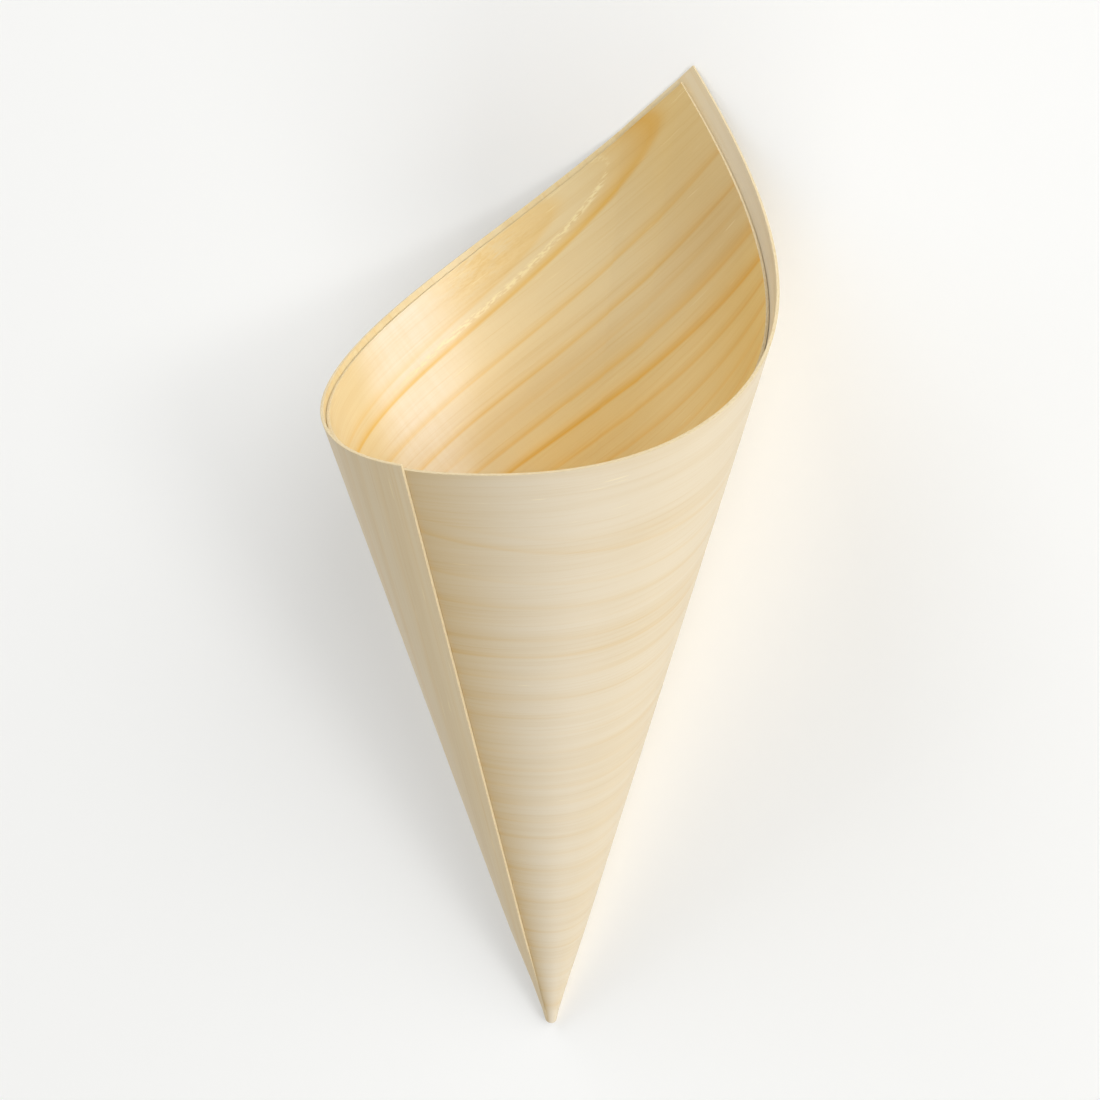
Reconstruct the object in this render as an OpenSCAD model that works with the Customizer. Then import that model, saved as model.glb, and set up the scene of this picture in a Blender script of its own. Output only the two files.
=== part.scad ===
// A pointed serving cone, rolled from one flat rectangle of thin pine veneer.
//
// The blank is about twice as long as it is wide. The cone's tip is a point near the
// middle of one long edge, and the sheet is wound round that point like a fan. Seen from
// the tip, the blank covers half a circle of sheet, which goes round the cone about two
// times, so the wall has two plies and the grain of the inner one crosses the outer one.
// The rim is what is left of the rectangle's outline: low at the front, and the two far
// corners, one on the other, as a tall point at the back.
//
// The cone can't stand on its tip. It is drawn lying on its side on Z = 0, rolled to
// where its centre of mass is lowest, with the tip towards -Y and the mouth towards +Y.

/* [Blank] */
// Length of the flat rectangle, along the grain
blank_length = 252; // [210:1:300]
// Width of the flat rectangle, from the edge that holds the tip to the far edge
blank_width = 127; // [105:1:150]
// How far the tip lies from the middle of the long edge, towards the inner end
tip_shift = 2.1; // [0:0.1:8]
// Thickness of the veneer
veneer = 0.55; // [0.3:0.05:0.9]

/* [Roll] */
// How many times the blank goes round the cone
turns = 2; // [1.6:0.05:2.4]
// Air left between one turn and the next
ply_gap = 0.08; // [0.05:0.01:0.3]

/* [Section] */
// How much the section is drawn out to an oval, as a share of its radius
oval = 0.09; // [0:0.01:0.12]
// Where the oval is longest, in degrees round from the outer seam
oval_at = 67; // [0:1:179]
// How much the section bulges in three places, as a share of its radius
lobes = 0.02; // [0:0.01:0.05]
// Where the first of the three bulges is, in degrees round from the outer seam
lobes_at = 35; // [0:1:119]
// Width of the flat strip that the cone lies on, at the rim
rest_flat = 10; // [0:0.5:14]

/* [Tip] */
// Radius of the blunt end, where the plies are pressed together
tip_radius = 1; // [0.6:0.1:1.6]

/* [Detail] */
// Flat strips that one turn of the wall is drawn with
strips = 120; // [60:6:180]

/* [Hidden] */
wood = [0.88, 0.77, 0.58];

// The blank: half a circle of sheet about the tip, split between the turns.
half_circle = 180;
outer_half = blank_length / 2 + tip_shift;
inner_half = blank_length / 2 - tip_shift;
outer_corner = atan2(blank_width, outer_half);
inner_corner = half_circle - atan2(blank_width, inner_half);
sheet_per_turn = half_circle / turns;

// Distance from the tip to the blank's outline, at an angle from its outer long edge
function to_end(run, share) = share > 0.001 ? run / share : blank_length;
function reach(a) = min(
    to_end(outer_half, cos(a)), to_end(blank_width, sin(a)), to_end(inner_half, -cos(a)));

// The section: a circle with an oval and three bulges. Its flat, where it has one, is the
// straight line between its points in two directions.
NO_FLAT = [0, 0];
function spoke(w) = [cos(w), -sin(w)];
function round_section(w) = 1 + oval * cos(2 * (w - oval_at)) + lobes * cos(3 * (w - lobes_at));
function flat_section(w, flat) = let (
    start = round_section(flat[0]) * spoke(flat[0]),
    end = round_section(flat[1]) * spoke(flat[1]))
    cross(start, end) / cross(spoke(w), end - start);
function section(w, flat) = let (turn_w = w % 360)
    turn_w > flat[0] && turn_w < flat[1] ? flat_section(turn_w, flat) : round_section(w);

// A line of the wall, w degrees round from the seam, for a mean slope t from the axis,
// and the direction straight out of the wall there
nudge = 0.01;
function unit(v) = v / norm(v);
function ray(w, t, flat) = let (out = section(w, flat) * t * spoke(w)) [out[0], out[1], 1];
function line_at(w, t, flat) = unit(ray(w, t, flat));
function outward(w, t, flat) =
    unit(cross(ray(w, t, flat), ray(w + nudge, t, flat) - ray(w - nudge, t, flat)));

// Sheet used from the seam to each direction, summed in small steps round one turn
fine_step = 0.5;
function sheet_between(w, t, flat) =
    2 * asin(norm(line_at(w + fine_step, t, flat) - line_at(w, t, flat)) / 2);
function sheet_used(t, flat) = [
    for (w = 0, used = 0; w <= 360; used = used + sheet_between(w, t, flat), w = w + fine_step)
        [used, w]];
function last(list) = list[len(list) - 1];

// Slope of the wall at which one turn uses its share of the sheet, in a few corrections
first_slope = tan(asin(sheet_per_turn / 360));
function fitted_slope(t, rounds, flat) = rounds == 0 ? t :
    fitted_slope(t * sheet_per_turn / last(sheet_used(t, flat))[0], rounds - 1, flat);

// Degrees round the cone at which an angle of the blank ends up
function round_at(a, table) = let (whole = floor(a / sheet_per_turn))
    360 * whole + lookup(a - whole * sheet_per_turn, table);

// Columns of the wall: even steps of sheet, with the nearest one moved to each corner
step = sheet_per_turn / strips;
columns = round(half_circle / step);
fixed = [outer_corner, inner_corner, half_circle];
function snapped(a) = let (near = [for (x = fixed) if (abs(x - a) < step / 2) x])
    len(near) > 0 ? near[0] : a;
sheet_at = [for (j = [0:columns]) snapped(j * step)];

// Rest: the blank's centre of mass on the cone without its flat, and the direction in
// which the wall comes closest to it. The flat is pressed there.
function sum(list) = [for (x = list) 1] * list;
round_slope = fitted_slope(first_slope, 4, NO_FLAT);
round_table = sheet_used(round_slope, NO_FLAT);
weight = [for (j = [0:columns]) let (
    before = sheet_at[max(j - 1, 0)], after = sheet_at[min(j + 1, columns)])
    (after - before) * reach(sheet_at[j]) ^ 2 / 2];
arm = [for (j = [0:columns]) let (a = sheet_at[j])
    weight[j] * reach(a) * 2 / 3 * line_at(round_at(a, round_table), round_slope, NO_FLAT)];
mass_centre = sum(arm) / sum(weight);
height_over = [for (row = round_table) -mass_centre * outward(row[1], round_slope, NO_FLAT)];
rest_sheet = round_table[search(min(height_over), height_over)[0]][0];
half_flat = asin(rest_flat / 2 / reach(rest_sheet));
flat_ends = [for (a = [rest_sheet - half_flat, rest_sheet + half_flat]) round_at(a, round_table)];

// The wall with its flat: the direction, the line and the outward direction of each column
slope = fitted_slope(round_slope, 4, flat_ends);
used_table = sheet_used(slope, flat_ends);
way = [for (a = sheet_at) round_at(a, used_table)];
along = [for (w = way) line_at(w, slope, flat_ends)];
normal = [for (w = way) outward(w, slope, flat_ends)];

// The roll: each turn lies one veneer and one gap inside the turn before it
pitch = veneer + ply_gap;
function depth(j) = pitch * j / strips;
foot = (depth(columns) + veneer + 0.3) / slope;
outer_rim = [for (j = [0:columns]) reach(sheet_at[j]) * along[j] - depth(j) * normal[j]];
inner_rim = [for (j = [0:columns]) outer_rim[j] - veneer * normal[j]];
outer_foot = [for (j = [0:columns]) foot * along[j] - depth(j) * normal[j]];
inner_foot = [for (j = [0:columns]) outer_foot[j] - veneer * normal[j]];
foot_middle = [0, 0, foot * cos(atan(slope))];

// Laid down: the strip in the middle of the flat is the one that lies on the table
under = floor(rest_sheet / step);
down = unit(cross(outer_rim[under] - outer_foot[under], outer_rim[under + 1] - outer_rim[under]));
up = -down;
forward = unit(outer_rim[under] - outer_foot[under] + outer_rim[under + 1] - outer_foot[under + 1]);
side = unit(cross(forward, up));
function laid(p) = [p * side, p * cross(up, side), p * up];

// The pressed tip: solid below the foot, closed by a small ball that touches the plane
// on which the cone rests
ball_up = (outer_foot[under] * down - tip_radius) / down[2];
dome_rings = 4;
function dome_point(j, tilt) = let (
    out = tip_radius * cos(tilt) * section(way[j], flat_ends) * spoke(way[j]))
    [out[0], out[1], ball_up - tip_radius * sin(tilt)];
dome = [for (i = [0:dome_rings - 1], j = [0:strips - 1])
    dome_point(j, atan(slope) + (90 - atan(slope)) * i / dome_rings)];
dome_pole = [0, 0, ball_up - tip_radius];

// All points of the sheet in one list, laid down, and moved to the middle of their box
wall_points = concat(outer_rim, inner_rim, outer_foot, inner_foot);
lying = [for (p = concat(wall_points, dome, [dome_pole, foot_middle])) laid(p)];
low = [for (i = [0:2]) min([for (p = lying) p[i]])];
high = [for (i = [0:2]) max([for (p = lying) p[i]])];
base_middle = [(low[0] + high[0]) / 2, (low[1] + high[1]) / 2, low[2]];
points = [for (p = lying) p - base_middle];

// Places in that list
function OR(j) = j;
function IR(j) = columns + 1 + j;
function OF(j) = 2 * (columns + 1) + j;
function IF(j) = 3 * (columns + 1) + j;
function DM(i, j) = 4 * (columns + 1) + i * strips + j % strips;
POLE = 4 * (columns + 1) + dome_rings * strips;
MIDDLE = POLE + 1;

// Four corners in order, as two triangles
function quad(a, b, c, d) = [[a, b, c], [a, c, d]];
function flat(lists) = [for (list = lists) for (x = list) x];

outer_wall = flat([for (j = [0:columns - 1]) quad(OF(j), OF(j + 1), OR(j + 1), OR(j))]);
inner_wall = flat([for (j = [0:columns - 1]) quad(IF(j), IR(j), IR(j + 1), IF(j + 1))]);
rim = flat([for (j = [0:columns - 1]) quad(OR(j), OR(j + 1), IR(j + 1), IR(j))]);
outer_seam = quad(OF(0), OR(0), IR(0), IF(0));
inner_seam = quad(OF(columns), IF(columns), IR(columns), OR(columns));
lap_floor = flat([for (j = [0:columns - strips - 1])
    quad(IF(j), IF(j + 1), OF(j + strips + 1), OF(j + strips))]);
well_floor = concat(
    [for (j = [columns - strips:columns - 1]) [IF(j), IF(j + 1), MIDDLE]],
    [[IF(columns), OF(columns), MIDDLE], [OF(columns), IF(columns - strips), MIDDLE]]);
tip_wall = flat([for (j = [0:strips - 1]) quad(DM(0, j), DM(0, j + 1), OF(j + 1), OF(j))]);
tip_step = [[DM(0, 0), OF(0), IF(0)], [DM(0, 0), IF(0), OF(strips)]];
tip_dome = flat([for (i = [0:dome_rings - 2], j = [0:strips - 1])
    quad(DM(i, j), DM(i + 1, j), DM(i + 1, j + 1), DM(i, j + 1))]);
tip_cap = [for (j = [0:strips - 1]) [POLE, DM(dome_rings - 1, j + 1), DM(dome_rings - 1, j)]];

// The whole rolled sheet: one closed skin
module cone() {
    color(wood)
        polyhedron(points, concat(outer_wall, inner_wall, rim, outer_seam, inner_seam,
            lap_floor, well_floor, tip_wall, tip_step, tip_dome, tip_cap));
}

cone();
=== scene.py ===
# %% [markdown]
# # A serving cone rolled from pine veneer
#
# The cone is one flat rectangle of thin pine, wound twice round its own tip. This lesson
# rebuilds the sheet as a surface worked out with numpy, so that every point of the wall
# knows where it lay on the flat blank. The grain is then painted on the blank, as a tree
# grew it, and the rolling carries it round the cone.

# %% Load the frame
import bpy
import math
import numpy as np
from mathutils import Matrix, Vector


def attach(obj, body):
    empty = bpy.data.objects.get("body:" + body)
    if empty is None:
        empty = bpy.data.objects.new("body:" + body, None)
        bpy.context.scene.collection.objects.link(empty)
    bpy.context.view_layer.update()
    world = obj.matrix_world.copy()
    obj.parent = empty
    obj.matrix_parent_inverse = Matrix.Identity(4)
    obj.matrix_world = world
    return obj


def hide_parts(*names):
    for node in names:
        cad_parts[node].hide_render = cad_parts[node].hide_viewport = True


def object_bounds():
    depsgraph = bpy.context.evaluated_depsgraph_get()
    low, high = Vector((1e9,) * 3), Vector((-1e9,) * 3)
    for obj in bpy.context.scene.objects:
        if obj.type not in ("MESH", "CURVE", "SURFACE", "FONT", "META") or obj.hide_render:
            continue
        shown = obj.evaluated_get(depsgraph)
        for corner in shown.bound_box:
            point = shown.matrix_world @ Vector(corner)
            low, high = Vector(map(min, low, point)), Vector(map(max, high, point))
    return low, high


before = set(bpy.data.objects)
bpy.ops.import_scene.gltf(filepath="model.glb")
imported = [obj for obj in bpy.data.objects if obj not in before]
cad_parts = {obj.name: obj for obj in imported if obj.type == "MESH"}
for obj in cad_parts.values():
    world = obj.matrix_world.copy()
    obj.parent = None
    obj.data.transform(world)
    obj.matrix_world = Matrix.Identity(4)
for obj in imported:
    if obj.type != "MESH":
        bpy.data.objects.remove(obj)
cad_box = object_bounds()
print("frame box in mm:", [[round(v * 1000, 1) for v in corner] for corner in cad_box])

# %% [markdown]
# ## The blank and the roll in numbers
#
# A rolled sheet has few sizes of its own: the rectangle, where the tip lies on its long
# edge, how thick it is and how many times it goes round. The mouth is not quite round:
# an oval and three soft bulges are added to a circle. These are the sizes of the solid
# model, so the visible sheet lies where the solid one does. Only the ball at the tip is a
# hair blunter, because a finer ball of the same size would reach past the solid's.

# %% Sizes of the blank
MM = 0.001
BLANK_LENGTH = 252 * MM
BLANK_WIDTH = 127 * MM
TIP_SHIFT = 2.1 * MM
VENEER = 0.55 * MM
TURNS = 2
PLY_GAP = 0.08 * MM
OVAL, OVAL_AT = 0.09, 67
LOBES, LOBES_AT = 0.02, 35
REST_FLAT = 10 * MM
TIP_RADIUS = 1.005 * MM
CAD_STRIPS = 120

HALF_CIRCLE = 180
OUTER_HALF = BLANK_LENGTH / 2 + TIP_SHIFT
INNER_HALF = BLANK_LENGTH / 2 - TIP_SHIFT
SHEET_PER_TURN = HALF_CIRCLE / TURNS
OUTER_CORNER = math.degrees(math.atan2(BLANK_WIDTH, OUTER_HALF))
INNER_CORNER = HALF_CIRCLE - math.degrees(math.atan2(BLANK_WIDTH, INNER_HALF))
PITCH = VENEER + PLY_GAP
NO_FLAT = (0, 0)
print("blank", BLANK_LENGTH / MM, "x", BLANK_WIDTH / MM, "mm; corners at",
      round(OUTER_CORNER, 1), "and", round(INNER_CORNER, 1), "degrees of sheet")


# %% [markdown]
# ## From the flat blank to the cone
#
# Seen from the tip, a point of the blank has a sheet angle and a distance. The distance
# stays what it was, because a cone's lines are straight. The sheet angle becomes a
# direction round the cone, and how fast depends on the section: where the wall stands
# further out, one degree round the cone uses more sheet. So the sheet used is summed in
# small steps round one turn, and read backwards. A cone primitive could not do this, and
# the grain would slide on it.

# %% The section and the straight lines of the wall
def unit(v):
    """Each vector divided by its length."""
    return v / np.linalg.norm(v, axis=-1, keepdims=True)


def cos_deg(a):
    """Cosine of degrees."""
    return np.cos(np.radians(a))


def sin_deg(a):
    """Sine of degrees."""
    return np.sin(np.radians(a))


def spoke(w):
    """Unit vector w degrees round from the seam, clockwise seen from the mouth."""
    return np.stack([cos_deg(w), -sin_deg(w)], -1)


def cross_2d(a, b):
    """Area of the parallelogram between two vectors of the plane."""
    return a[..., 0] * b[..., 1] - a[..., 1] * b[..., 0]


def round_section(w):
    """Radius as a share of the mean one: 1, plus an oval wave, plus a wave of three bulges."""
    return 1 + OVAL * cos_deg(2 * (w - OVAL_AT)) + LOBES * cos_deg(3 * (w - LOBES_AT))


def section(w, flat):
    """The round section, cut straight between two directions: the radius where a spoke
    meets the line from start to end is (start x end) / (spoke x (end - start))."""
    turn_w = np.mod(w, 360)
    start, end = (round_section(f) * spoke(np.float64(f)) for f in flat)
    pressed = (turn_w > flat[0]) & (turn_w < flat[1])
    across = np.where(pressed, cross_2d(spoke(turn_w), end - start), 1)
    return np.where(pressed, cross_2d(start, end) / across, round_section(turn_w))


def ray(w, slope, flat):
    """Direction of the wall's line: section times slope outwards, for each 1 up the axis."""
    out = (section(w, flat) * slope)[..., None] * spoke(w)
    return np.concatenate([out, np.ones_like(out[..., :1])], -1)


def outward(w, slope, flat, nudge=0.01):
    """Unit normal of the wall: a line crossed with the small step to its neighbours."""
    step = ray(w + nudge, slope, flat) - ray(w - nudge, slope, flat)
    return unit(np.cross(ray(w, slope, flat), step))


# %% How much sheet each direction uses
def sheet_table(slope, flat, fine_step=0.5):
    """Directions round one turn, and the sheet angle used up to each of them: the angle
    between neighbouring lines is twice the arcsine of half their distance, summed."""
    w = np.arange(0, 360 + fine_step / 2, fine_step)
    lines = unit(ray(w, slope, flat))
    between = 2 * np.arcsin(np.linalg.norm(np.diff(lines, axis=0), axis=1) / 2)
    return w, np.concatenate([[0], np.cumsum(np.degrees(between))])


def fitted_slope(slope, flat):
    """The slope at which one turn uses its share of the sheet, after a few corrections."""
    for _ in range(4):
        slope = slope * SHEET_PER_TURN / sheet_table(slope, flat)[1][-1]
    return slope


def round_at(a, table):
    """Degrees round the cone for a sheet angle: 360 for each whole turn, then the table."""
    whole = np.floor(a / SHEET_PER_TURN)
    return 360 * whole + np.interp(a - whole * SHEET_PER_TURN, table[1], table[0])


def reach(a):
    """Distance from the tip to the rectangle's outline at a sheet angle: the shortest of
    the ways to the outer end, the far edge and the inner end."""
    ways = [(OUTER_HALF, cos_deg(a)), (BLANK_WIDTH, sin_deg(a)), (INNER_HALF, -cos_deg(a))]
    runs = [run / np.maximum(share, 1e-3) for run, share in ways]
    return np.minimum.reduce(runs)


# %% [markdown]
# ## Where it comes to rest
#
# The cone lies on its side with its centre of mass as low as it can get, on a strip that
# its weight presses flat. The solid model finds that strip from its own coarse columns,
# so the same columns are used here, and the visible sheet turns by exactly the same angle.

# %% The resting strip
coarse = np.arange(CAD_STRIPS * TURNS + 1) * SHEET_PER_TURN / CAD_STRIPS
for corner in (OUTER_CORNER, INNER_CORNER):
    coarse[np.argmin(np.abs(coarse - corner))] = corner
round_slope = fitted_slope(math.tan(math.asin(SHEET_PER_TURN / 360)), NO_FLAT)
round_table = sheet_table(round_slope, NO_FLAT)
share = np.gradient(coarse) * reach(coarse) ** 2
share[[0, -1]] /= 2
middles = (reach(coarse) * 2 / 3)[:, None] * unit(
    ray(round_at(coarse, round_table), round_slope, NO_FLAT))
mass_centre = (share[:, None] * middles).sum(0) / share.sum()
height_over = -outward(round_table[0], round_slope, NO_FLAT) @ mass_centre
rest_sheet = round_table[1][np.argmin(height_over)]
half_flat = math.degrees(math.asin(REST_FLAT / 2 / float(reach(rest_sheet))))
FLAT = tuple(float(round_at(rest_sheet + side * half_flat, round_table)) for side in (-1, 1))
SLOPE = fitted_slope(round_slope, FLAT)
TABLE = sheet_table(SLOPE, FLAT)
print("slope", round(SLOPE, 5), "flat from", round(FLAT[0], 1), "to", round(FLAT[1], 1))


# %% [markdown]
# ## Two turns that lie on each other
#
# Paper wound on itself is a spiral: each turn lies one thickness inside the turn before
# it. So a point of the blank goes along its line of the cone, and then inwards by the
# share of the roll that is already wound. At the tip of the real cone the turns are
# squeezed together, and the step at the seam fades out. There the outer turn is drawn
# thinner instead of being cut, so the skin stays one closed surface.

# %% A point of the rolled blank
def rolled(a, s, z=0.0):
    """Point of the cone for sheet angle a, distance s from the tip and depth z under the
    outer face: s along the wall's line, less the roll's own depth and z along the normal.
    Each turn lies one veneer and one gap inside the turn before it."""
    a, s, z = np.broadcast_arrays(np.asarray(a, float), s, z)
    w = round_at(a, TABLE)
    depth = PITCH * a / SHEET_PER_TURN + z
    return s[..., None] * unit(ray(w, SLOPE, FLAT)) - depth[..., None] * outward(w, SLOPE, FLAT)


# %% The squeeze at the tip
SQUEEZED_BELOW = 12 * MM
SQUEEZED_FROM = 30 * MM
SQUEEZED_SHARE = 0.85


def squeezed(a, s, z):
    """Depth z once the first turn is squeezed at the tip: there the outer face sinks to
    nearly one turn's depth at the seam, fading out round the cone and up the wall, and
    what lies between it and the inner face is drawn together evenly."""
    a, s, z = np.broadcast_arrays(a, s, z)
    low = np.clip((SQUEEZED_FROM - s) / (SQUEEZED_FROM - SQUEEZED_BELOW), 0, 1)
    smooth = low * low * (3 - 2 * low)
    sunk = SQUEEZED_SHARE * PITCH * smooth * np.clip(1 - a / SHEET_PER_TURN, 0, 1)
    return sunk + (1 - sunk / VENEER) * z


# %% Laid on the table, and the ball at the tip
FOOT_SPARE = 0.3 * MM
FOOT = (PITCH * TURNS + VENEER + FOOT_SPARE) / SLOPE
strip = coarse[int(rest_sheet / SHEET_PER_TURN * CAD_STRIPS):][:2]
strip_rim, strip_foot = rolled(strip, reach(strip)), rolled(strip, FOOT)
down = unit(np.cross(strip_rim[0] - strip_foot[0], strip_rim[1] - strip_rim[0]))
forward = unit((strip_rim - strip_foot).sum(0))
side = unit(np.cross(forward, -down))
LAID = np.stack([side, np.cross(-down, side), -down])
BALL_UP = (strip_foot[0] @ down - TIP_RADIUS) / down[2]
print("foot", round(FOOT / MM, 2), "mm from the tip; lies on", strip.round(2), "degrees of sheet")

# %% [markdown]
# ## The skin of the sheet
#
# The wall could be a thin surface with a Solidify modifier, but the cut edges and the
# place of each point through the veneer matter here. So the sheet is one closed skin:
# a grid of columns round the cone, and a profile that runs up the outer face, over a
# lightly rounded cut edge, and down the inner face. Each vertex keeps its place on the
# blank in millimetres: along the grain, across it, and down through the sheet.

# %% Columns and profile
COLUMNS_PER_TURN = 480
ROWS = 20
EDGE_ROUND = 0.06 * MM
columns = np.arange(COLUMNS_PER_TURN * TURNS + 1) * SHEET_PER_TURN / COLUMNS_PER_TURN
for corner in (OUTER_CORNER, INNER_CORNER):
    columns[np.argmin(np.abs(columns - corner))] = corner


def wall_profile():
    """Place along each line, as a share from the foot to the rim and a step back from the
    rim, and depth in the veneer: up the outer face, round the cut edge, down the inner."""
    up_share = np.linspace(0, 1, ROWS + 1)
    edge_depth = np.array([EDGE_ROUND, VENEER - EDGE_ROUND])
    share = np.concatenate([up_share, [1, 1], up_share[::-1]])
    back = np.concatenate([EDGE_ROUND * up_share, [0, 0], EDGE_ROUND * up_share[::-1]])
    depth = np.concatenate([0 * up_share, edge_depth, 0 * up_share + VENEER])
    return share, back, depth


share_up, step_back, depth_in = wall_profile()
sheet_grid = np.repeat(columns[:, None], len(share_up), 1)
run_grid = FOOT + (reach(columns)[:, None] - FOOT) * share_up - step_back
depth_grid = np.repeat(depth_in[None, :], len(columns), 0)
print("grid of", sheet_grid.shape, "points")


# %% Faces between grid points
def between(index):
    """Quads between neighbours of a grid of vertex numbers, one row of four for each."""
    corners = [index[:-1, :-1], index[1:, :-1], index[1:, 1:], index[:-1, 1:]]
    return np.stack(corners, -1).reshape(-1, 4)


def triangles(a, b, c):
    """Triangles from three equal lists of vertex numbers, as quads with a repeated corner."""
    a, b, c = np.broadcast_arrays(a, b, c)
    return np.stack([a, b, c, c], -1).reshape(-1, 4)


def turned_over(faces):
    """The same faces with their other side out. A repeated last corner stays the last."""
    return faces[:, [1, 0, 3, 2]]


# %% [markdown]
# ## The rolled sheet and its pressed tip
#
# Below the foot the plies are pressed together into a solid point. The tip is a second
# small grid: it takes the outer face's last ring and shrinks it to a blunt ball. The step
# of the seam fades out there, as it does on the real cone.

# %% Gather the points
grid_count = sheet_grid.size
index = np.arange(grid_count).reshape(sheet_grid.shape)
outer_foot, inner_foot = index[:, 0], index[:, -1]
TIP_ROWS = 10
turn_columns = columns[:COLUMNS_PER_TURN]
half_angle = math.atan(SLOPE)
tilts = half_angle + (math.pi / 2 - half_angle) * np.arange(TIP_ROWS) / TIP_ROWS
spread = TIP_RADIUS * section(round_at(turn_columns, TABLE), FLAT)[:, None] * np.cos(tilts)
ball_height = (BALL_UP - TIP_RADIUS * np.sin(tilts))[None, :, None]
ball = np.concatenate([
    spread[..., None] * spoke(round_at(turn_columns, TABLE))[:, None, :],
    np.broadcast_to(ball_height, spread.shape + (1,))], -1)
pole = np.array([[0, 0, BALL_UP - TIP_RADIUS]])
well_middle = np.array([[0, 0, FOOT * math.cos(half_angle)]])
ball_index = grid_count + np.arange(ball[..., 0].size).reshape(spread.shape)
pole_at = grid_count + spread.size
middle_at = pole_at + 1

# %% [markdown]
# The two long cut ends of the sheet get the same light rounding as the rim: on each, the
# outer and inner face stop a hair short, and two more lines of points stand on the cut.

# %% The long cut ends: the seam outside, and the end inside
SEAM_ROWS = slice(0, ROWS + 1)
seam_run = run_grid[0, SEAM_ROWS]
inner_run = run_grid[-1, SEAM_ROWS]
edge_lines = np.array([EDGE_ROUND, VENEER - EDGE_ROUND])
seam_edge = np.stack([
    rolled(0.0, seam_run, squeezed(0.0, seam_run, z)) for z in edge_lines], 1)
inner_edge = np.stack([rolled(float(HALF_CIRCLE), inner_run, z) for z in edge_lines], 1)
seam_index = middle_at + 1 + np.arange(2 * (ROWS + 1)).reshape(ROWS + 1, 2)
inner_index = seam_index + seam_index.size
pull = np.degrees(EDGE_ROUND / run_grid[[0, -1]])
sheet_grid[0] += pull[0]
sheet_grid[-1] -= pull[1]


# %% Place on the blank, and place in the room
def on_blank(a, s, z):
    """Millimetres along the grain from the tip, across it, and down through the veneer."""
    a, s, z = np.broadcast_arrays(a, s, z)
    return np.stack([s * cos_deg(a), s * sin_deg(a), z], -1) / MM


wall = rolled(sheet_grid, run_grid, squeezed(sheet_grid, run_grid, depth_grid))
tip_run = FOOT + (BALL_UP - FOOT) * np.linspace(0.1, 1, TIP_ROWS)
cone_points = np.concatenate([part.reshape(-1, 3) for part in (
    wall, ball, pole, well_middle, seam_edge, inner_edge)])
blank_places = np.concatenate([part.reshape(-1, 3) for part in (
    on_blank(sheet_grid, run_grid, depth_grid),
    on_blank(turn_columns[:, None], tip_run[None, :], 0.0),
    np.zeros((1, 3)), np.full((1, 3), VENEER / MM),
    on_blank(0.0, seam_run[:, None], edge_lines),
    on_blank(float(HALF_CIRCLE), inner_run[:, None], edge_lines))])
lying = cone_points @ LAID.T
low, high = lying.min(0), lying.max(0)
box_low, box_high = (np.array(corner) for corner in cad_box)
sideways_by = (box_low + box_high) / 2 - (low + high) / 2
lying = lying + np.array([sideways_by[0], sideways_by[1], box_low[2] - low[2]])
larger_by = ((high - low) - (box_high - box_low)) / MM
print("visible box less frame box in mm:", larger_by.round(3))

# %% [markdown]
# ## Faces, and which of them are cut wood
#
# The grids give most of the faces. What closes the skin is named piece by piece: the ball
# and its cap, the floors between the turns at the foot, the small well inside, and the two
# long ends. The rim and the ends are marked as cut, because they get another material.
# The lists run clockwise seen from outside, as in the solid model's source. Blender's
# front is the other way round, so all faces are turned over at the end.

# %% Faces of the sheet and of the tip
skin = between(index)
is_rim = np.zeros(index.shape, bool)[:-1, :-1]
is_rim[:, ROWS:ROWS + 3] = True
turn = COLUMNS_PER_TURN
ring = np.concatenate([ball_index[:, 0], ball_index[:1, 0]])
tip_wall = np.stack([ring[:-1], ring[1:], outer_foot[1:turn + 1], outer_foot[:turn]], -1)
closed_ball = np.concatenate([ball_index, ball_index[:1]])
ball_faces = turned_over(between(closed_ball))
cap = triangles(pole_at, closed_ball[1:, -1], closed_ball[:-1, -1])
lap_floor = np.stack([
    inner_foot[:-turn - 1], inner_foot[1:-turn], outer_foot[turn + 1:], outer_foot[turn:-1]], -1)
well = triangles(inner_foot[-turn - 1:-1], inner_foot[-turn:], middle_at)
print(len(skin), "faces of the sheet,", len(tip_wall) + len(ball_faces) + len(cap), "of the tip")


# %% Faces of the long ends
def cut_end(outer, inner, edge):
    """Quads over a long cut end: outer face, first line, second line, inner face, and the
    small corner where the end meets the rim's own rounded cut."""
    across = np.stack([outer[:, 0], edge[:, 0], edge[:, 1], inner[:, 0]], -1)
    corner = np.stack([outer[-1, 0], outer[-1, 1], inner[-1, 1], inner[-1, 0]])
    fill = [[corner[0], corner[1], edge[-1, 0], edge[-1, 0]],
            [corner[1], corner[2], edge[-1, 1], edge[-1, 0]],
            [corner[2], corner[3], edge[-1, 1], edge[-1, 1]]]
    return np.concatenate([between(across), np.array(fill)])


def end_columns(column):
    """The outer and inner face's points of a column, foot to rim, with the rim's cut."""
    out = index[column, :ROWS + 1]
    into = index[column, ROWS + 3:][::-1]
    rim_cut = index[column, ROWS + 1:ROWS + 3]
    return (np.stack([out, np.full_like(out, rim_cut[0])], -1),
            np.stack([into, np.full_like(into, rim_cut[1])], -1))


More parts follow.
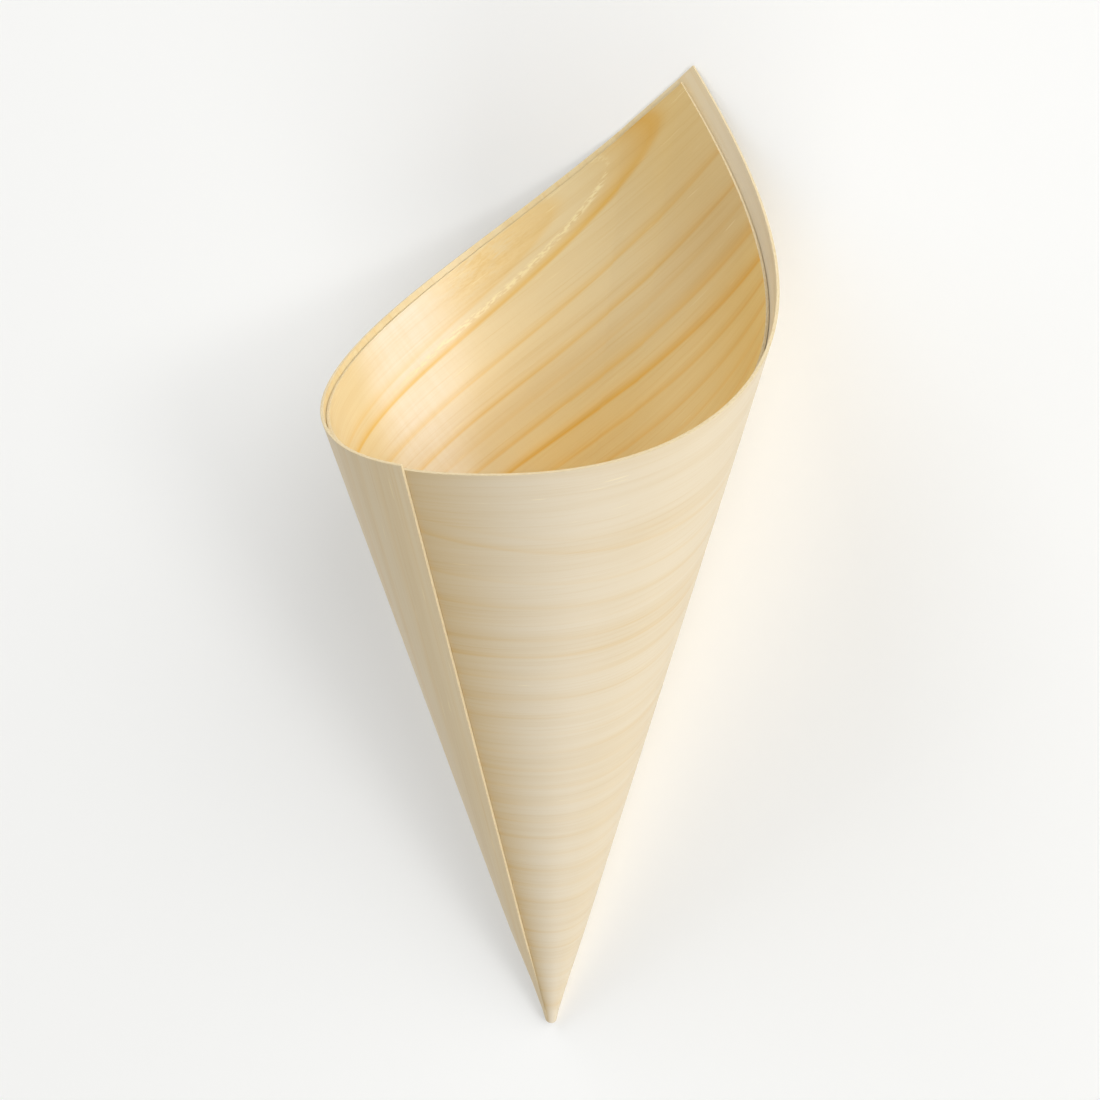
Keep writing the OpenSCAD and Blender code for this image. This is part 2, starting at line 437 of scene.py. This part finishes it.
# %% Gather the faces
seam_end = cut_end(*end_columns(0), seam_index)
inner_end = turned_over(cut_end(*end_columns(-1), inner_index))
first_ring = ball_index[0, 0]
step_end = np.array([
    [first_ring, outer_foot[0], seam_index[0, 0], seam_index[0, 0]],
    [first_ring, seam_index[0, 0], seam_index[0, 1], seam_index[0, 1]],
    [first_ring, seam_index[0, 1], inner_foot[0], inner_foot[0]],
    [first_ring, inner_foot[0], outer_foot[turn], outer_foot[turn]]])
floor_end = np.array([
    [inner_foot[-1], inner_index[0, 1], middle_at, middle_at],
    [inner_index[0, 1], inner_index[0, 0], middle_at, middle_at],
    [inner_index[0, 0], outer_foot[-1], middle_at, middle_at],
    [outer_foot[-1], inner_foot[-turn - 1], middle_at, middle_at]])
face_sets = [(skin, is_rim.ravel()), (tip_wall, False), (ball_faces, False), (cap, False),
             (lap_floor, False), (well, False), (seam_end, True), (inner_end, True),
             (step_end, True), (floor_end, False)]
faces = turned_over(np.concatenate([group for group, _ in face_sets]))
cut = np.concatenate([np.broadcast_to(flag, len(group)) for group, flag in face_sets])
print(len(faces), "faces, of which", int(cut.sum()), "on cut edges")

# %% Measure the skin
halves = lying[np.concatenate([faces[:, [0, 1, 2]], faces[:, [0, 2, 3]]])]
six_volumes = halves[:, 0] * np.cross(halves[:, 1], halves[:, 2])
volume = six_volumes.sum() / 6 / MM ** 3
print("volume", round(volume), "cubic mm: above zero, so the faces point outwards")


# %% [markdown]
# ## The object
#
# The mesh is filled from the arrays in a few calls, which is much quicker than adding
# vertices one by one. The wall is shaded smooth, and every edge sharper than 30 degrees
# stays an edge. The place on the blank is stored on the vertices as an attribute, which
# the materials read.

# %% A mesh from arrays
def mesh_from(name, points, quads, slots):
    """A mesh with these points and faces: a repeated last corner makes a triangle."""
    three = quads[:, 2] == quads[:, 3]
    sizes = np.where(three, 3, 4)
    keep = np.ones_like(quads, bool)
    keep[three, 3] = False
    mesh = bpy.data.meshes.new(name)
    mesh.vertices.add(len(points))
    mesh.vertices.foreach_set("co", points.astype(np.float32).ravel())
    mesh.loops.add(int(sizes.sum()))
    mesh.loops.foreach_set("vertex_index", quads[keep].astype(np.int32))
    mesh.polygons.add(len(quads))
    mesh.polygons.foreach_set("loop_start", (np.cumsum(sizes) - sizes).astype(np.int32))
    mesh.polygons.foreach_set("material_index", slots.astype(np.int32))
    mesh.update(calc_edges=True)
    mesh.validate()
    return mesh


# %% The cone
SHARP = math.radians(30)
cone_mesh = mesh_from("rolled_veneer", lying, faces, cut)
blank_attribute = cone_mesh.attributes.new("blank", "FLOAT_VECTOR", "POINT")
blank_attribute.data.foreach_set("vector", blank_places.astype(np.float32).ravel())
cone_mesh.shade_smooth()
cone_mesh.set_sharp_from_angle(angle=SHARP)
cone = bpy.data.objects.new("rolled_veneer", cone_mesh)
bpy.context.scene.collection.objects.link(cone)
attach(cone, "root")
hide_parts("cone")
print(len(cone_mesh.vertices), "vertices,", len(cone_mesh.loop_triangles), "triangles")


# %% [markdown]
# ## Writing shader maths in Python
#
# A wood's figure is a formula on the blank's coordinates. Wired by hand, it is a page of
# Math nodes, so a small class wraps each socket: Python's own operators add the nodes,
# and one method makes every other kind of node.

# %% The socket class
class Socket:
    """A shader value. Arithmetic on it adds Math nodes to its material."""

    def __init__(self, tree, out):
        self.tree = tree
        self.out = out

    def node(self, kind, settings=None, outlet=0, **inlets):
        """Any node: its settings first, then its sockets by name, with spaces as _."""
        made = self.tree.nodes.new(kind)
        for name, value in (settings or {}).items():
            setattr(made, name, value)
        for name, value in inlets.items():
            plug = next(s for s in made.inputs if name in (s.identifier, s.name.replace(" ", "_")))
            if isinstance(value, Socket):
                self.tree.links.new(value.out, plug)
            else:
                plug.default_value = value
        return Socket(self.tree, made.outputs[outlet])

    def maths(self, operation, *values):
        """A Math node of that operation on these numbers or sockets."""
        made = self.node("ShaderNodeMath", {"operation": operation})
        for plug, value in zip(made.out.node.inputs, values):
            if isinstance(value, Socket):
                self.tree.links.new(value.out, plug)
            else:
                plug.default_value = value
        return made

    def __add__(self, other):
        return self.maths("ADD", self, other)

    def __sub__(self, other):
        return self.maths("SUBTRACT", self, other)

    def __mul__(self, other):
        return self.maths("MULTIPLY", self, other)

    def __truediv__(self, other):
        return self.maths("DIVIDE", self, other)

    def __pow__(self, other):
        return self.maths("POWER", self, other)

    def __rsub__(self, other):
        return self.maths("SUBTRACT", other, self)

    __radd__ = __add__
    __rmul__ = __mul__

    def at_least(self, low):
        """This value, or low where it is less."""
        return self.maths("MAXIMUM", self, low)

    def at_most(self, high):
        """This value, or high where it is more."""
        return self.maths("MINIMUM", self, high)

    def fade(self, start, end, low=0.0, high=1.0):
        """A smooth change from low at start to high at end."""
        return self.node("ShaderNodeMapRange", {"interpolation_type": "SMOOTHSTEP"}, Value=self,
                         From_Min=start, From_Max=end, To_Min=low, To_Max=high)

    def ramp(self, stops):
        """Straight lines through (place, height) pairs, with places from 0 to 1."""
        made = self.node("ShaderNodeValToRGB", Fac=self)
        marks = made.out.node.color_ramp.elements
        for place, _ in stops[2:]:
            marks.new(place)
        for mark, (place, _) in zip(marks, stops):
            mark.position = place
        for mark, (_, height) in zip(marks, stops):
            mark.color = (height, height, height, 1)
        return made.node("ShaderNodeSeparateColor", Color=made)

    def blend(self, first, second):
        """The first colour where this is 0, the second where it is 1."""
        return self.node("ShaderNodeMix", {"data_type": "RGBA"}, outlet=2, Factor_Float=self,
                         A_Color=first, B_Color=second)

    def tint(self, colour, filter_colour):
        """The colour where this is 0, and the colour times the filter where it is 1."""
        return self.node("ShaderNodeMix", {"data_type": "RGBA", "blend_type": "MULTIPLY"},
                         outlet=2, Factor_Float=self, A_Color=colour, B_Color=filter_colour)

    def noise(self, scale, detail=3.0, roughness=0.5):
        """Smooth noise of a vector socket, about 0.5 in the mean."""
        return self.node("ShaderNodeTexNoise", Vector=self, Scale=scale, Detail=detail,
                         Roughness=roughness)

    def stretched(self, x, y, z, shift=0.0):
        """A vector socket with each axis scaled, and moved along the first."""
        return self.node("ShaderNodeMapping", Vector=self, Scale=(x, y, z), Location=(shift, 0, 0))


def srgb(code):
    """A colour as the eye names it, such as E8D2A0, as linear light."""
    parts = [int(code[i:i + 2], 16) / 255 for i in (0, 2, 4)]
    linear = [p / 12.92 if p <= 0.04045 else ((p + 0.055) / 1.055) ** 2.4 for p in parts]
    return (*linear, 1.0)


def new_material(name):
    """An empty material with its Principled shader, and a socket to start from."""
    material = bpy.data.materials.new(name)
    material.use_nodes = True
    tree = material.node_tree
    shader = tree.nodes["Principled BSDF"]
    return material, shader, Socket(tree, None)


# %% [markdown]
# ## Pine, as the tree grew it
#
# The veneer was sliced along the log, a little off its heart. Where the slice comes
# close to the heart, the rings run out in a pointed arch, and further away they are
# straight lines along the grain. So a ring is a set of points at one distance from the
# heart line: the square root of (distance across) squared plus (depth below the slice)
# squared, and the depth grows towards the inner end. Late wood is a thin dark line that
# darkens slowly and stops sharply. A wave texture would give even bands: here the rings
# stand where a few named distances put them, and further out they follow a pitch.

# %% Rings on the blank
HEART_ACROSS = 125
HEART_FROM = -40
HEART_DIVE = 0.12
LEAN_FROM, LEAN = -60, 0.06
BEND_TO, BEND = 60, 0.18
WANDER = 1.6
LATE_WOOD = ((6.3, 0.6), (9.1, 1.0), (16.2, 0.75), (21.9, 0.8), (25.5, 0.5), (29.3, 0.8),
             (32.8, 1.0), (37.0, 0.75), (41.4, 0.7), (45.4, 0.65))
DARKENS_OVER, STOPS_OVER = 1.9, 0.5
RAMP_SPAN = 50
FAR_RINGS_FROM = 45.5
RING_PITCH = 3.9


def ring_distance(x, y, blank):
    """Distance from the heart line in mm, with a slow bend along the blank and a wander,
    and how much it grows for each mm on the blank."""
    dive = (HEART_FROM - x).at_least(0) * HEART_DIVE
    across = HEART_ACROSS - y
    from_heart = (across * across + dive * dive) ** 0.5
    lean = (x - LEAN_FROM).at_most(0) * LEAN * from_heart.fade(26, 38)
    bend = x.at_least(0).at_most(BEND_TO) * BEND * from_heart.fade(6, 34, 1, 0)
    wander = blank.stretched(0.012, 0.05, 0.05).noise(1.0, detail=2.0) - 0.5
    downhill = dive * HEART_DIVE
    growth = (across * across + downhill * downhill) ** 0.5 / from_heart.at_least(1)
    return from_heart + lean - bend + wander * WANDER, growth.at_least(0.1)


def late_wood(distance):
    """How dark the late wood is, from 0 to 1: named rings near the heart, then a pitch."""
    stops = [(0.0, 0.0)]
    for place, dark in LATE_WOOD:
        before = max(place - DARKENS_OVER, stops[-1][0] * RAMP_SPAN + 0.01)
        after = place + STOPS_OVER
        stops += [(before / RAMP_SPAN, 0.0), (place / RAMP_SPAN, dark), (after / RAMP_SPAN, 0.0)]
    near = (distance / RAMP_SPAN).ramp(stops)
    phase = distance.maths("FRACT", (distance - FAR_RINGS_FROM) / RING_PITCH)
    far = phase.fade(0.55, 0.95) * phase.fade(0.95, 1.0, 1, 0) * distance.fade(47, 50)
    return near, far


# %% [markdown]
# ## The face of the veneer
#
# Sliced pine isn't one brown. It has pale early wood and golden late wood, fine fibres
# along the grain, broad streaks, and faint ripples across the grain where the knife
# shook. Each of them is a noise stretched along or across the blank. A picture of wood
# would be quicker, but it would show no arch, and it would repeat.

# %% Place on the blank, rings and noises
material, shader, start = new_material("pine_veneer")
blank = start.node("ShaderNodeAttribute", {"attribute_name": "blank"}, outlet=1)
split = blank.node("ShaderNodeSeparateXYZ", Vector=blank)
x, y, z = (Socket(blank.tree, split.out.node.outputs[i]) for i in range(3))
distance, growth = ring_distance(x, y, blank)
near_rings, far_rings = late_wood(distance)
patches = blank.stretched(0.03, 0.12, 1.0, shift=3.7).noise(1.0)
fibres = blank.stretched(0.035, 2.6, 1.0, shift=1.3).noise(1.0, detail=4.0, roughness=0.65)
streaks = blank.stretched(0.012, 0.35, 1.0, shift=8.1).noise(1.0, detail=3.0, roughness=0.55)
ripples = blank.stretched(1.1, 0.09, 1.0, shift=5.2).noise(1.0, detail=2.0)
flecks = blank.stretched(0.11, 1.9, 1.0, shift=2.9).noise(1.0, detail=1.0).fade(0.72, 0.8)
inner_half_of_blank = x.fade(-25, 12, 1, 0)
rings = near_rings ** 1.9 * (0.6 + patches * 0.8) + far_rings * streaks * 0.9
rings_seen = rings * (0.3 + inner_half_of_blank * 0.7)
print(len(blank.tree.nodes), "nodes for the rings and the noises")

# %% [markdown]
# The wood has a few special places too. Inside the arch, a thin line of silky dashes
# follows the ring: partly pale grain, partly painted sheen. The wood between that line and
# the rim is golden and mottled. The quotient x / y is the same all along a straight line
# of the cone, so the zones that run from tip to rim are written with it: a painted
# highlight band inside on the left, and painted shade beside the seam.

# %% Silk with painted sheen, heartwood, and the painted highlight band
SILK_RING = 7.75
from_silk = distance.maths("ABSOLUTE", distance - SILK_RING) / growth
# Partly painted sheen: pale dashes along one ring, where the grain is pale and catches the light.
sheen_line = from_silk.fade(0.1, 0.8, 1, 0) * x.fade(-44, -60) * x.fade(-108, -100)
dashes = blank.stretched(0.9, 3.4, 1.0, shift=4.1).noise(1.0, detail=1.0).fade(0.38, 0.62)
mottle = blank.stretched(0.12, 0.6, 1.0, shift=6.4).noise(1.0, detail=4.0, roughness=0.7)
heartwood = distance.fade(3.5, 7.0, 1, 0) * x.fade(-58, -80) * mottle.fade(0.3, 0.6)
silk = (sheen_line * 0.7 + heartwood * 0.25) * dashes
quotient = x / y.at_least(1)
past_middle = quotient * -1
# Painted highlight: a band along the cone's lines inside on the left, where the satin light
# gleams.
highlight_band = past_middle.fade(0.33, 0.43) * past_middle.fade(0.47, 0.6, 1, 0)
print("silk along the ring", SILK_RING, "mm from the heart")

# %% [markdown]
# Colours are laid like glazes. A ground for each face comes first. Both faces are one pale
# pine: the outer ground is painted greyer and paler for the sheen of the lit outer wall,
# and the inner one more golden for the warm shade and bounced light inside the cone. Each
# mark then multiplies it by a tint, so it keeps the ground's own variation.

# %% Ground colours of the two faces
# One pine: the outer ground is painted paler for sheen, the inner more golden for shade.
OUTER_SHEEN_GROUND = srgb("D3C5AB")
INNER_SHADE_GROUND = srgb("E4D0A2")
GOLDEN_BOUNCE_PAINT = srgb("F2DBA0")
LAP_WOOD = srgb("DFD0B2")
on_inner_face = z.fade(0.1, 0.4)
on_outer_face = 1 - on_inner_face
# Painted bounce light: deep in the cone on the left the inner face is made warmer and brighter.
golden = y.fade(103, 88) * x.fade(-52, -68)
inner_shade_and_bounce = golden.blend(INNER_SHADE_GROUND, GOLDEN_BOUNCE_PAINT)
outer_sheen_and_lap = on_inner_face.blend(OUTER_SHEEN_GROUND, LAP_WOOD)
inside = on_inner_face * (x.fade(0, 40, 1, 0) + quotient.fade(0.8, 1.3))
ground = inside.blend(outer_sheen_and_lap, inner_shade_and_bounce)
print(len(blank.tree.nodes), "nodes with the ground colours")

# %% Tints of the zones
# The first two tints are painted shade, and the fourth colour is a painted highlight.
SEAM_SHADE_TINT = srgb("F3E9D2")
STRIP_SHADE_TINT = srgb("FFFBF0")
END_TINT = srgb("F2E6C8")
HIGHLIGHT_PAINT = srgb("F1E7D4")
# Painted shade: the outer face just right of the seam, below the step, is darkened.
painted_seam_shade = quotient.fade(-0.02, 0.16, 1, 0) * on_outer_face
# Painted shade: the outer strip left of the seam, facing away from the main light, is tinted
# darker and more golden.
painted_strip_shade = (y / x.at_least(1)).fade(0.15, 0.6, 1, 0) * on_outer_face
by_inner_end = x.fade(-90, -120)
# Painted highlight: the inner face in that band is blended towards a pale, whitish colour.
painted_highlight = highlight_band * y.fade(40, 95) * on_inner_face * (0.5 + ripples * 0.5)
shaded = painted_strip_shade.tint(painted_seam_shade.tint(ground, SEAM_SHADE_TINT), STRIP_SHADE_TINT)
shaded = by_inner_end.tint(shaded, END_TINT)
shaded = painted_highlight.blend(shaded, HIGHLIGHT_PAINT)
print(len(blank.tree.nodes), "nodes with the tints of the zones")

# %% Streaks, fibres, rings and silk
STREAK_TINT = srgb("FCF9F3")
FIBRE_TINT = srgb("FAF4E8")
LATE_TINT = srgb("FCE29A")
# The silky line's pale colour is partly the wood's own, partly painted sheen.
SILK_WOOD_AND_SHEEN = srgb("F6E9B8")
streaked = streaks.fade(0.4, 0.65).tint(shaded, STREAK_TINT)
with_fibres = fibres.fade(0.45, 0.8).tint(streaked, FIBRE_TINT)
with_rings = (rings_seen + heartwood * 0.8).at_most(1.0).tint(with_fibres, LATE_TINT)
colour = (silk + flecks * 0.25).blend(with_rings, SILK_WOOD_AND_SHEEN)
blank.tree.links.new(colour.out, shader.inputs["Base Color"])
print(len(blank.tree.nodes), "nodes with the whole colour")

# %% Gloss and relief
RELIEF = 0.12 * MM
roughness = 0.37 + fibres * 0.14 - rings_seen * 0.05 - silk * 0.1
blank.tree.links.new(roughness.out, shader.inputs["Roughness"])
shader.inputs["IOR"].default_value = 1.55
height = fibres * 0.35 + rings_seen * 0.15 + ripples * inner_half_of_blank * 0.5
bump = height.node("ShaderNodeBump", Strength=0.22, Distance=RELIEF, Height=height)
blank.tree.links.new(bump.out, shader.inputs["Normal"])
cone_mesh.materials.append(material)
print(len(material.node_tree.nodes), "nodes in the veneer's face")

# %% [markdown]
# ## The cut edge
#
# The blank was punched from the sheet, so its edge shows bare wood, paler and rougher
# than the sliced face. It reads the same blank coordinates, with fine layers through the
# veneer's thickness.

# %% The edge material
EDGE_PALE = srgb("D9C8A4")
EDGE_DARK = srgb("CDB98F")
EDGE_RELIEF = 0.08 * MM
edge_material, edge_shader, start = new_material("cut_edge")
place_on_blank = start.node("ShaderNodeAttribute", {"attribute_name": "blank"}, outlet=1)
layers = place_on_blank.stretched(1.6, 1.6, 7.0).noise(1.0, detail=2.0)
edge_colour = layers.fade(0.3, 0.75).blend(EDGE_PALE, EDGE_DARK)
start.tree.links.new(edge_colour.out, edge_shader.inputs["Base Color"])
edge_shader.inputs["Roughness"].default_value = 0.75
edge_bump = layers.node("ShaderNodeBump", Strength=0.4, Distance=EDGE_RELIEF, Height=layers)
start.tree.links.new(edge_bump.out, edge_shader.inputs["Normal"])
cone_mesh.materials.append(edge_material)
print(len(edge_material.node_tree.nodes), "nodes in the cut edge")

# %% [markdown]
# ## The table
#
# The cone lies on a plain pale table. It is large, so that its far edge stays out of
# most pictures, also of those taken from low down.

# %% Table
TABLE_SIZE = 12.0
table_corners = np.array([[-1, -1, 0], [1, -1, 0], [1, 1, 0], [-1, 1, 0]]) * TABLE_SIZE / 2
table_mesh = mesh_from("table", table_corners, np.array([[0, 1, 2, 3]]), np.array([0]))
table = bpy.data.objects.new("table", table_mesh)
bpy.context.scene.collection.objects.link(table)
table_material, table_shader, _ = new_material("table_paint")
table_shader.inputs["Base Color"].default_value = srgb("FAFAF8")
table_shader.inputs["Roughness"].default_value = 0.8
table_mesh.materials.append(table_material)
print("table", TABLE_SIZE, "m square")

# %% [markdown]
# ## The camera
#
# The camera looks down steeply at the cone from its right side, as the photograph does,
# so the mouth lies open at the top of the picture and the tip points to the bottom. Its
# place and lens were fitted to the outlines of the rim, the seam and the tip.

# %% Camera
CAMERA_AIM = Vector((-0.1, 5.8, 20.3)) * MM
CAMERA_AWAY = 309 * MM
CAMERA_TURN = math.radians(22.83)
CAMERA_RISE = math.radians(59.53)
CAMERA_ROLL = math.radians(5.76)
CAMERA_LENS = 59.84
back = Vector((math.cos(CAMERA_RISE) * math.cos(CAMERA_TURN),
               math.cos(CAMERA_RISE) * math.sin(CAMERA_TURN), math.sin(CAMERA_RISE)))
right = Vector((0, 1, 0)).cross(back).normalized()
axes = Matrix((right, back.cross(right), back)).transposed()
camera_data = bpy.data.cameras.new("camera")
camera_data.lens = CAMERA_LENS
camera_data.sensor_width = 36
camera = bpy.data.objects.new("camera", camera_data)
camera.matrix_world = (Matrix.Translation(CAMERA_AIM + back * CAMERA_AWAY)
                       @ (axes @ Matrix.Rotation(CAMERA_ROLL, 3, "Z")).to_4x4())
bpy.context.scene.collection.objects.link(camera)
bpy.context.scene.camera = camera
print("camera at mm", [round(v / MM, 1) for v in camera.matrix_world.translation])


# %% [markdown]
# ## The light
#
# Soft studio light comes from large square lamps. The main one stands at the right of the
# picture, so the wall brightens from left to right. A smaller one gives the satin gleam
# on the inside, and the others only lift the shade. They stand far off compared with the
# cone, so that the table is lit evenly around it.

# %% Lights
LIGHT_AWAY = 2.5
LIGHT_SIZE = 2.0
SATIN_SIZE = 0.5


def soft_light(name, direction, power, size=LIGHT_SIZE):
    """A square area light that looks at the cone from a direction."""
    data = bpy.data.lights.new(name, "AREA")
    data.shape = "SQUARE"
    data.size = size
    data.energy = power
    lamp = bpy.data.objects.new(name, data)
    toward = Vector(direction).normalized()
    lamp.location = CAMERA_AIM + toward * LIGHT_AWAY
    lamp.rotation_mode = "QUATERNION"
    lamp.rotation_quaternion = toward.to_track_quat("Z", "Y")
    bpy.context.scene.collection.objects.link(lamp)


soft_light("key_light", (0.66, 0.60, 0.46), 39)
soft_light("side_light", (0.88, 0.42, 0.22), 12)
soft_light("satin_light", (0.86, 0.11, 0.50), 11.5, SATIN_SIZE)
soft_light("tip_light", (0.35, -0.82, 0.45), 31)
soft_light("back_light", (-0.62, 0.70, 0.34), 26)
soft_light("left_light", (-0.86, -0.10, 0.45), 10)

# %% The even light of the room
WORLD_STRENGTH = 0.25
world = bpy.data.worlds.new("studio")
world.use_nodes = True
background = world.node_tree.nodes["Background"]
background.inputs["Color"].default_value = (1.0, 1.0, 1.0, 1.0)
background.inputs["Strength"].default_value = WORLD_STRENGTH
bpy.context.scene.world = world
bpy.context.scene.view_settings.view_transform = "Standard"
print("room light", WORLD_STRENGTH)
